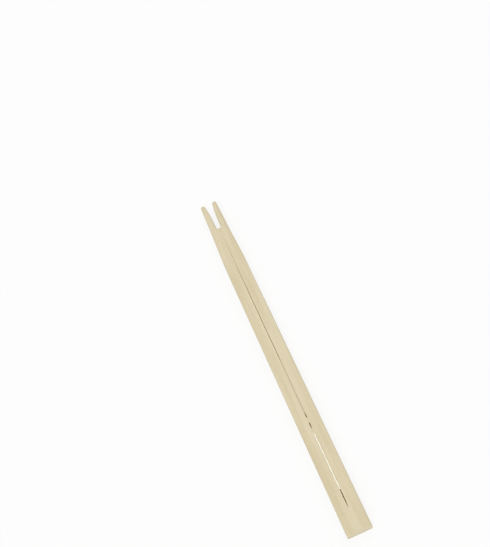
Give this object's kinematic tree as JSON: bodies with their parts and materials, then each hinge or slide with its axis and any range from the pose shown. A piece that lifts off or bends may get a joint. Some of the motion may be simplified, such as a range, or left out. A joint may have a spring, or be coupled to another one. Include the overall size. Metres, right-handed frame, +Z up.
{
  "type": "joined bamboo chopsticks",
  "caption": "Disposable pair of bamboo chopsticks, still joined at the butt: a flat slat slit along its middle, with two tapered, rounded tips.",
  "frame": {"origin": "on the flat underside, at mid length and mid width", "axes": "+Y along the pair from the butt to the tips, +Z up out of the broad top face, +X across the pair"},
  "size_m": [0.012, 0.2, 0.005],
  "materials": {
    "bamboo": "planed, satin"
  },
  "bodies": {
    "root": {"chopstick_pair": "bamboo"}
  },
  "joints": []
}
